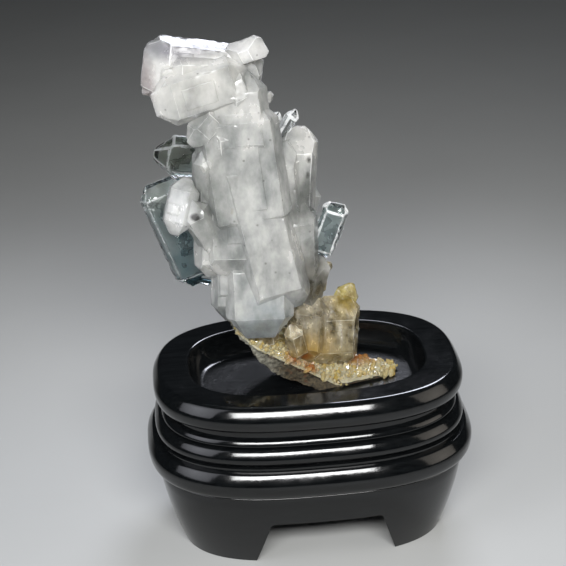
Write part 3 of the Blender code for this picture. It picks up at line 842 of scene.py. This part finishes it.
# name: root, tip, width, thickness, spin in degrees, ridge along the end (mm)
crystals = {
    "crown": ((-10, 4, 142), (-43, 1, 149), 19.5, 11.0, 6, 11.5),
    "crown step": ((-12, 3, 142), (-38.5, -3, 145), 17.0, 9.0, -8, 8.0),
    "shoulder": ((-14, -1, 145), (-41, -6, 139.5), 15.0, 9.0, -6, 6.0),
    "elbow": ((-22, -3, 137), (-31.5, -7, 128), 9.0, 7.0, -14, 3.0),
    "chip": ((-19, 1, 150), (-9, -2, 154), 8.0, 7.0, 24, 5.0),
    "neck": ((-20, 2, 123), (-14, 1, 148), 10.0, 9.0, 12, 4.0),
    "neck front": ((-20, -2, 147), (-15, -5, 136), 8.0, 6.0, -10, 3.0),
    "neck fill": ((-18, 3, 118), (-21, 2, 147), 14.0, 11.0, 5, 6.0),
    "neck plate": ((-18, -1, 146), (-17, -6, 121), 17.5, 9.0, 3, 9.0),
    "column plate": ((-19, -3, 138), (-15, -7, 99), 25.0, 9.0, 2, 14.0),
    "column left": ((-21, -2, 104), (-22, -4, 135), 12.0, 10.0, 14, 3.0),
    "column right": ((-14, -1, 101), (-12, -3, 137), 13.0, 10.0, -9, 4.0),
    "main": ((-17, -3, 125), (-7, -9, 75), 19.0, 11.0, -4, 12.0),
    "main step": ((-17, -1, 120), (-15, -6, 84), 17.0, 10.0, 9, 5.0),
    "main left": ((-20, -2, 122), (-21.5, -8, 87), 17.0, 9.5, 4, 9.0),
    "lower front": ((-14, -4, 93), (-14.5, -11, 68), 20.0, 10.0, 4, 9.0),
    "lower left": ((-21, -1, 97), (-22.5, -5, 71), 13.0, 9.0, 10, 4.0),
    "left fill": ((-25, -1, 126), (-26.5, -5, 86), 13.0, 9.0, 3, 6.0),
    "left middle": ((-23, -4, 90), (-33, -9, 111), 9.0, 7.0, -10, 3.0),
    "left upper": ((-26, -2, 105), (-27, -6, 126), 9.5, 8.0, 18, 2.5),
    "white": ((-33, -4, 117), (-38, -9, 101.5), 10.0, 6.5, 24, 2.6),
    "clear upper": ((-17, 3, 118), (-42, 4, 122), 12.5, 7.5, -12, 3.0),
    "clear big": ((-30, 4, 80), (-41.5, 5, 113.5), 15.5, 7.0, -3, 8.0),
    "clear low": ((-24, 4, 104), (-31.5, 5, 79), 14.0, 6.5, 6, 6.0),
    "clear wing": ((-33, 4, 95), (-45.5, 5, 110.5), 9.5, 6.0, 8, 2.5),
    "right tall": ((-3, 3, 89), (0, 5, 127), 13.0, 10.5, 8, 4.5),
    "right step": ((-4, 3, 94), (-4, 2, 123), 11.0, 9.0, -12, 3.0),
    "right middle": ((-1, 1, 76), (-1, -1, 106), 12.0, 9.0, 10, 3.0),
    "right fill": ((-6.5, 1.5, 124), (-4.5, -1, 80), 14.0, 11.0, -3, 6.0),
    "right lower": ((-1, 1, 69), (5, 3, 87), 10.0, 9.0, -15, 3.0),
    "glassy": ((5, 3, 86), (11, 1, 104), 8.6, 4.6, -4, 4.5),
    "tip a": ((-13, 4, 133), (-7, 4, 138), 4.2, 3.6, 20, 1.0),
    "tip b": ((-12, 4, 121.3), (-5, 5, 132), 3.8, 3.2, 0, 0.8),
    "tip c": ((-10.5, 4.4, 116), (0, 6, 132), 5.2, 4.4, 12, 1.5),
    "right edge a": ((1, 3, 81), (9, 3, 83), 5.2, 4.6, 15, 1.5),
    "right edge b": ((0, 3, 73), (7, 3, 78), 4.8, 4.4, -12, 1.2),
    "foot big": ((8, 1, 50), (10, 2, 73), 15.5, 10.0, 8, 8.0),
    "foot yellow": ((9, 4, 63), (15.5, 5, 75.5), 8.4, 6.0, 18, 1.4),
    "foot middle": ((-1, -2, 54), (2.5, 0, 74.5), 13.0, 9.0, -9, 4.5),
    "foot small": ((-2, -4, 56), (-5, -8, 69.5), 6.4, 5.4, 14, 1.5),
    "foot left": ((-12, -2, 60), (-13, -7, 74), 8.0, 6.0, -6, 2.0),
    "spine": ((-13, 1, 82), (-17.5, 2, 130), 14.0, 14.0, 0, 4.0),
    "back crown": ((-14, 5, 140), (-36, 11, 146), 14.0, 8.0, 14, 6.0),
    "back column": ((-14, 6, 96), (-17, 10, 136), 15.0, 10.0, 11, 5.0),
    "back main": ((-10, 6, 118), (-13, 13, 80), 17.0, 10.0, -14, 6.0),
    "back left": ((-22, 7, 88), (-33, 13, 108), 11.0, 8.0, 22, 3.0),
    "back right": ((-4, 7, 84), (3, 12, 108), 11.0, 8.0, -18, 3.0),
    "back foot": ((-1, 6, 58), (3, 11, 78), 11.0, 9.0, 8, 3.5),
    "back toe": ((10, 5, 50), (16, 8, 62), 7.0, 6.0, 14, 2.0),
}
# What isn't named here belongs to the milky body
crystalGroups = {
    "clearUpper": ("clear upper",),
    "clearSide": ("clear big", "clear low", "clear wing"),
    "glassyCrystal": ("glassy",),
    "clearTips": ("tip b", "tip c"),
    "clearEdges": ("right edge a", "right edge b"),
    "footCrystals": ("foot big", "foot middle", "foot small", "foot left"),
    "yellowTip": ("foot yellow",),
}


def crystalFaces(root, tip, width, thickness, spin, ridge, draw):
    h = crystalHabit
    root, tip = Vector(root), Vector(tip)
    axis = (tip - root).normalized()
    middle = (root + tip) / 2
    front = Vector(h["facing"])
    front = (front - axis * front.dot(axis)).normalized()
    front.rotate(Matrix.Rotation(math.radians(spin), 3, axis))
    side = front.cross(axis)
    slope = math.radians(h["endSlope"])
    faces = []
    for sixth in range(6):
        turn = math.radians(30 + 60 * sixth)
        outward = side * math.cos(turn) + front * math.sin(turn)
        flattened = sixth in (1, 4)
        reach = thickness / 2 if flattened else width / 2 * math.cos(math.radians(30))
        reach *= 1 + draw.uniform(-h["jitter"], h["jitter"])
        faces.append((middle + outward * reach, outward))
        for end in (1, -1):
            sloped = outward * math.sin(slope) + axis * end * math.cos(slope)
            alongRidge = 0.0 if flattened else math.copysign(ridge / 2, math.cos(turn))
            apex = middle + axis * end * (tip - root).length / 2 + side * alongRidge
            faces.append((apex + sloped * draw.uniform(0, h["jitter"]) * thickness, sloped))
    return faces


def softenEdges(bm, width, closed=0.02, marked=1.0):
    # The rounding's own faces are marked as rim, for the materials, which paint a highlight there
    bmesh.ops.remove_doubles(bm, verts=bm.verts, dist=closed)
    rim = bm.faces.layers.float.new("rim")
    made = bmesh.ops.bevel(
        bm, geom=bm.edges[:], offset=width, segments=2, affect="EDGES", profile=0.6, clamp_overlap=True)
    for face in made["faces"]:
        face[rim] = marked
    bmesh.ops.remove_doubles(bm, verts=bm.verts, dist=0.03)
    bmesh.ops.dissolve_degenerate(bm, edges=bm.edges, dist=0.03)
    return bm


def growthPlates(root, tip, width, thickness, spin, ridge, draw):
    # Thin parallel crystals that stand a little proud of the big one's faces
    h = crystalHabit
    root, tip = Vector(root), Vector(tip)
    for _ in range(h["steps"]):
        share = draw.uniform(0.5, 0.8)
        start = draw.uniform(0.05, 0.95 - share)
        offset = Vector((draw.uniform(-0.12, 0.12) * width, 0, 0))
        yield (
            root.lerp(tip, start) + offset, root.lerp(tip, start + share) + offset,
            width * draw.uniform(0.6, 0.9), thickness * (1 + h["stepRise"] * draw.uniform(0.5, 2.0)),
            spin + draw.uniform(-2, 2), ridge * draw.uniform(0.5, 1.2),
        )


def halveLongEdges(bm, longest):
    # Each edge is cut across both its triangles, longest first, so the mesh stays closed
    while True:
        long = [edge for edge in bm.edges if edge.calc_length() > longest]
        if not long:
            return
        for edge in sorted(long, key=lambda edge: -edge.calc_length()):
            halves = edge.link_faces[:]
            middle = bmesh.utils.edge_split(edge, edge.verts[0], 0.5)[1]
            for face in halves:
                loop = next(loop for loop in face.loops if loop.vert == middle)
                bmesh.utils.face_split(face, middle, loop.link_loop_next.link_loop_next.vert)


def weather(piece, kind):
    # Divides the faces, then makes them gently uneven and chips the edges; sizes in mm
    w = crystalHabit["weathering"][kind]
    bm = bmesh.new()
    bm.from_mesh(piece.data)
    rim = bm.faces.layers.float["rim"]
    bmesh.ops.triangulate(bm, faces=bm.faces)
    halveLongEdges(bm, w["longest"] * mm)
    bm.normal_update()
    moves = []
    for vertex in bm.verts:
        place = vertex.co / mm
        sunk = w["depth"] * (0.5 + noise.noise(place / w["size"]))
        worn = max(0.0, noise.noise(place / w["chipSize"] + Vector((5, 1, 3))))
        if any(face[rim] > 0.5 for face in vertex.link_faces):
            sunk += w["chip"] * worn
        moves.append(vertex.normal * -sunk * mm)
    for vertex, move in zip(bm.verts, moves):
        vertex.co += move
    bm.to_mesh(piece.data)
    bm.free()
    piece.data.shade_smooth()
    piece.data.set_sharp_from_angle(angle=math.radians(w["sharp"]))
    return piece


def buildPhantoms(material):
    draw = random.Random(crystalHabit["seed"] + 2)
    piece = None
    for name, depth in crystalHabit["phantoms"].items():
        root, tip, *rest = crystals[name]
        bm = softenEdges(cutBlock(crystalFaces(root, tip, *rest, draw), -depth), 0.35)
        inner = newObject("phantom veils", bm, material)
        if piece:
            joinSolids(piece, [inner])
        else:
            piece = inner
    piece.name = "phantomVeils"
    useMaterial(piece, material)
    return weather(piece, "inner")


def buildCrystals(materials):
    shapeDraw = random.Random(crystalHabit["seed"])
    plateDraw = random.Random(crystalHabit["seed"] + 1)
    groupOf = {name: group for group, names in crystalGroups.items() for name in names}
    solids = {}
    for name, values in crystals.items():
        group = groupOf.get(name, "milkyQuartz")
        kind = crystalHabit["wear"].get(group, "cloudy")
        bm = softenEdges(cutBlock(crystalFaces(*values, shapeDraw)), *crystalHabit["edges"][kind])
        solids.setdefault(group, []).append(newObject(name, bm, materials[group]))
        if values[2] < crystalHabit["platesFrom"]:
            continue
        for plate in growthPlates(*values, plateDraw):
            bm = softenEdges(
                cutBlock(crystalFaces(*plate, plateDraw)), *crystalHabit["edges"]["cloudy"],
                crystalHabit["plateRim"])
            solids[group].append(newObject(name + " plate", bm, materials[group]))
    pieces = []
    for group, found in solids.items():
        piece = found[0]
        piece.name = group
        if len(found) > 1:
            joinSolids(piece, found[1:])
        useMaterial(piece, materials[group])
        weather(piece, crystalHabit["wear"].get(group, "cloudy"))
        pieces.append(piece)
        print(f"{group}: {len(found)} crystals")
    return pieces


# Druse: small crystals that crust the rock's upper faces

druseSizes = {
    "crust": 0.5,
    "density": 1.2,  # crystals to a square mm
    "smallest": 0.4,
    "largest": 1.9,
    "lean": 0.55,
    "steepest": 0.25,  # least upward slope of the ground that crystals stand on
    "seed": 11,
}


def druseTree():
    add, given = newShapeTree("druse", (
        ("Crystal", "Object"), ("Density", "Float"), ("Smallest", "Float"), ("Largest", "Float"),
        ("Lean", "Float"), ("Steepest", "Float"), ("Seed", "Int"), ("Material", "Material")))
    normal = add("GeometryNodeInputNormal")
    upward = add("SeparateXYZ", [normal], 2)
    chosen = add("Math", [upward, given["Steepest"]], operation="GREATER_THAN")
    spread = add("GeometryNodeDistributePointsOnFaces", {
        "Mesh": given["Geometry"], "Selection": chosen, "Density": given["Density"],
        "Seed": given["Seed"]}, None).outputs
    seeds = [
        add("Math", [given["Seed"], number], operation="ADD")
        for number in (1.0, 2.0, 3.0, 4.0)]
    leaning = add("FunctionNodeRandomValue", {
        "Min": (-1, -1, -1), "Max": (1, 1, 1), "Seed": seeds[0]}, data_type="FLOAT_VECTOR")
    leaning = add("VectorMath", {0: leaning, "Scale": given["Lean"]}, operation="SCALE")
    direction = add("VectorMath", [spread["Normal"], leaning], operation="ADD")
    aligned = add("FunctionNodeAlignRotationToVector", {"Vector": direction}, axis="Z")
    spin = add("FunctionNodeRandomValue", {
        2: 0.0, 3: math.tau, "Seed": seeds[1]}, 1, data_type="FLOAT")
    twist = add("FunctionNodeAxisAngleToRotation", {"Axis": (0, 0, 1), "Angle": spin})
    turned = add("FunctionNodeRotateRotation", [aligned, twist], rotation_space="LOCAL")
    chance = add("FunctionNodeRandomValue", {
        2: 0.0, 3: 1.0, "Seed": seeds[2]}, 1, data_type="FLOAT")
    skewed = add("Math", [chance, 2.2], operation="POWER")  # most stay small
    size = add("MapRange", {0: skewed, 3: given["Smallest"], 4: given["Largest"]})
    model = add("GeometryNodeObjectInfo", {"Object": given["Crystal"]}, "Geometry")
    copies = add("GeometryNodeInstanceOnPoints", {
        "Points": spread["Points"], "Instance": model, "Rotation": turned, "Scale": size})
    tint = add("FunctionNodeRandomValue", {
        2: 0.0, 3: 1.0, "Seed": seeds[3]}, 1, data_type="FLOAT")
    marked = add("GeometryNodeStoreNamedAttribute", {
        "Geometry": copies, "Name": "tint", "Value": tint}, data_type="FLOAT", domain="INSTANCE")
    joined = add("GeometryNodeJoinGeometry", [marked], None)
    feed(joined, [given["Geometry"]])
    return endShapeTree(add, joined.outputs[0], given["Material"])


def smallCrystal():
    # One unit long above its root, in mm
    draw = random.Random(druseSizes["seed"])
    bm = cutBlock(crystalFaces((0, 0, -0.9), (0, 0, 0.9), 0.95, 0.8, 0, 0.1, draw))
    bmesh.ops.remove_doubles(bm, verts=bm.verts, dist=0.005)
    bmesh.ops.recalc_face_normals(bm, faces=bm.faces)
    return meshObject("small crystal", bm)


def crustSheet(bm):
    # Breaks the flat crust into low lumps before the crystals are spread on it
    bmesh.ops.triangulate(bm, faces=bm.faces)
    for _ in range(4):
        long = [edge for edge in bm.edges if edge.calc_length() > 1.6]
        bmesh.ops.subdivide_edges(bm, edges=long, cuts=1)
        bmesh.ops.triangulate(bm, faces=bm.faces)
    for vertex in bm.verts:
        vertex.co += Vector((0, 0, 0.35 * noise.noise(vertex.co / 1.8)))
    return bm


def buildDruse(material):
    outward = Vector(rockShape["bedNormal"]).normalized()
    point = Vector(rockShape["bedPoint"])
    bedFaces = [
        (point + outward * druseSizes["crust"], outward), (point - outward * 0.7, -outward),
        *shardFaces[1:]]
    tree = druseTree()
    seed = smallCrystal()
    values = {"Crystal": seed, "Material": material}
    for name in ("density", "smallest", "largest", "lean", "steepest", "seed"):
        values[name.capitalize()] = druseSizes[name]
    pieces = []
    for name, bm in (("bedDruse", cutBlock(bedFaces, -0.3)), ("toeDruse", cutBlock(toeCrustFaces, -0.8))):
        piece = applyShapeTree(meshObject(name, crustSheet(bm)), tree, values)
        piece.data.transform(Matrix.Translation((0, 0, footDrop)))
        piece.data.transform(Matrix.Scale(mm, 4))
        useMaterial(piece, material)
        pieces.append(piece)
    bpy.data.objects.remove(seed, do_unlink=True)
    return pieces


# Camera, floor and light

cameraView = {
    "distance": 450.0,
    "elevation": 25.0,
    "azimuth": -4.9,
    "roll": -2.13,
    "focalPixels": 1499.0,
    "imagePixels": 566.0,
    "aim": (0.0, 0.0, 83.5),
    "aimRight": -6.3,
    "aimUp": -2.4,
}
studio = {
    "floorHalf": 9000.0,
    "floorColour": "#b9bab8",
    "mottleColour": "#c0c1bf",
    "worldColour": "#26292c",
    "lightsLookAt": (-6, 0, 85),
    # name: place, size across and up, power in watts, spread in degrees, colour
    "lights": {
        "front strip": ((-30, -450, 380), (430, 100), 0.90, 80, "#ffffff"),
        "left softbox": ((-430, -200, 420), (420, 460), 0.26, 70, "#f4f6ff"),
        "right fill": ((430, -160, 240), (300, 340), 0.10, 80, "#fff6ea"),
        "back rim": ((140, 380, 460), (260, 140), 0.22, 60, "#eef2ff"),
    },
}


def buildCamera():
    v = cameraView
    azimuth, elevation, roll = (math.radians(v[key]) for key in ("azimuth", "elevation", "roll"))
    level = Vector((math.cos(azimuth), math.sin(azimuth), 0))
    ahead = Vector((-math.sin(azimuth), math.cos(azimuth), 0))
    back = ahead * -math.cos(elevation) + Vector((0, 0, math.sin(elevation)))
    upright = back.cross(level)
    right = level * math.cos(roll) + upright * math.sin(roll)
    up = upright * math.cos(roll) - level * math.sin(roll)
    place = Vector(v["aim"]) + level * v["aimRight"] + upright * v["aimUp"] + back * v["distance"]
    data = bpy.data.cameras.new("camera")
    data.angle = 2 * math.atan(v["imagePixels"] / 2 / v["focalPixels"])
    data.clip_start = 0.01
    camera = placeObject("camera", data)
    columns = Matrix((right, up, back)).transposed().to_4x4()
    camera.matrix_world = Matrix.Translation(place * mm) @ columns
    bpy.context.scene.camera = camera


def buildStudio():
    bm = bmesh.new()
    bmesh.ops.create_grid(bm, x_segments=1, y_segments=1, size=studio["floorHalf"])
    material, add, shader, place = newMaterial("pale matt floor")
    mottle = scaledNoise(add, place, 60, 3.0)
    tone = add("Mix", {
        0: mottle, 6: studio["floorColour"], 7: studio["mottleColour"]}, 2, data_type="RGBA")
    feed(shader, {"Base Color": tone, "Roughness": 0.8})
    floor = newObject("floor", bm, material)
    floor.data.transform(Matrix.Translation((0, 0, -(footDrop + 0.02) * mm)))
    world = bpy.data.worlds.new("studio")
    world.use_nodes = True
    feed(world.node_tree.nodes["Background"], {"Color": studio["worldColour"]})
    bpy.context.scene.world = world
    target = Vector(studio["lightsLookAt"])
    for name, (place, size, power, spread, colour) in studio["lights"].items():
        data = bpy.data.lights.new(name, "AREA")
        data.shape = "RECTANGLE"
        data.size = size[0] * mm
        data.size_y = size[1] * mm
        data.energy = power
        data.spread = math.radians(spread)
        data.color = linearColour(colour)[:3]
        lamp = placeObject(name, data)
        lamp.location = Vector(place) * mm
        lamp.rotation_euler = (target - Vector(place)).to_track_quat("-Z", "Y").to_euler()


def buildAll():
    buildCamera()
    buildStudio()
    lacquer = blackLacquer()
    stone = hostRock()
    milky = cloudyQuartz(milkyLook)
    # Its blue tint is a painted reflection, carried in the absorption colour
    reflectionTintedCrystal = rockCrystal("rock crystal, cool", "#a9c3cb", 45.0, 0.66)
    smokyCrystal = rockCrystal("rock crystal, grey green", "#a3a89b", 60.0, 0.82)
    waterCrystal = rockCrystal("rock crystal, colourless", "#dde3e3", 20.0, 0.3)
    footCrystal = cloudyQuartz(footLook)
    materials = {
        "milkyQuartz": milky, "clearUpper": smokyCrystal, "clearSide": reflectionTintedCrystal,
        "glassyCrystal": waterCrystal, "clearTips": waterCrystal, "clearEdges": footCrystal,
        "footCrystals": footCrystal, "yellowTip": cloudyQuartz(yellowLook),
    }
    seats = [
        newObject("shard seat", cutBlock(shardFaces, standSizes["gap"])),
        newObject("toe seat", cutBlock(toeFaces, standSizes["gap"])),
    ]
    stand = buildStand(lacquer, seats)
    finishPiece(stand, "stand")
    print("stand done")
    rock = buildRock(stone)
    finishPiece(rock, "matrix_rock")
    print("rock done")
    for piece in buildCrystals(materials):
        finishPiece(piece, "quartz_cluster")
    finishPiece(buildPhantoms(innerVeil(veilLook)), "quartz_cluster")
    for piece in buildDruse(stainedDruse()):
        finishPiece(piece, "quartz_cluster")
    print("quartz done")


buildAll()
bpy.context.scene.view_settings.view_transform = "Standard"
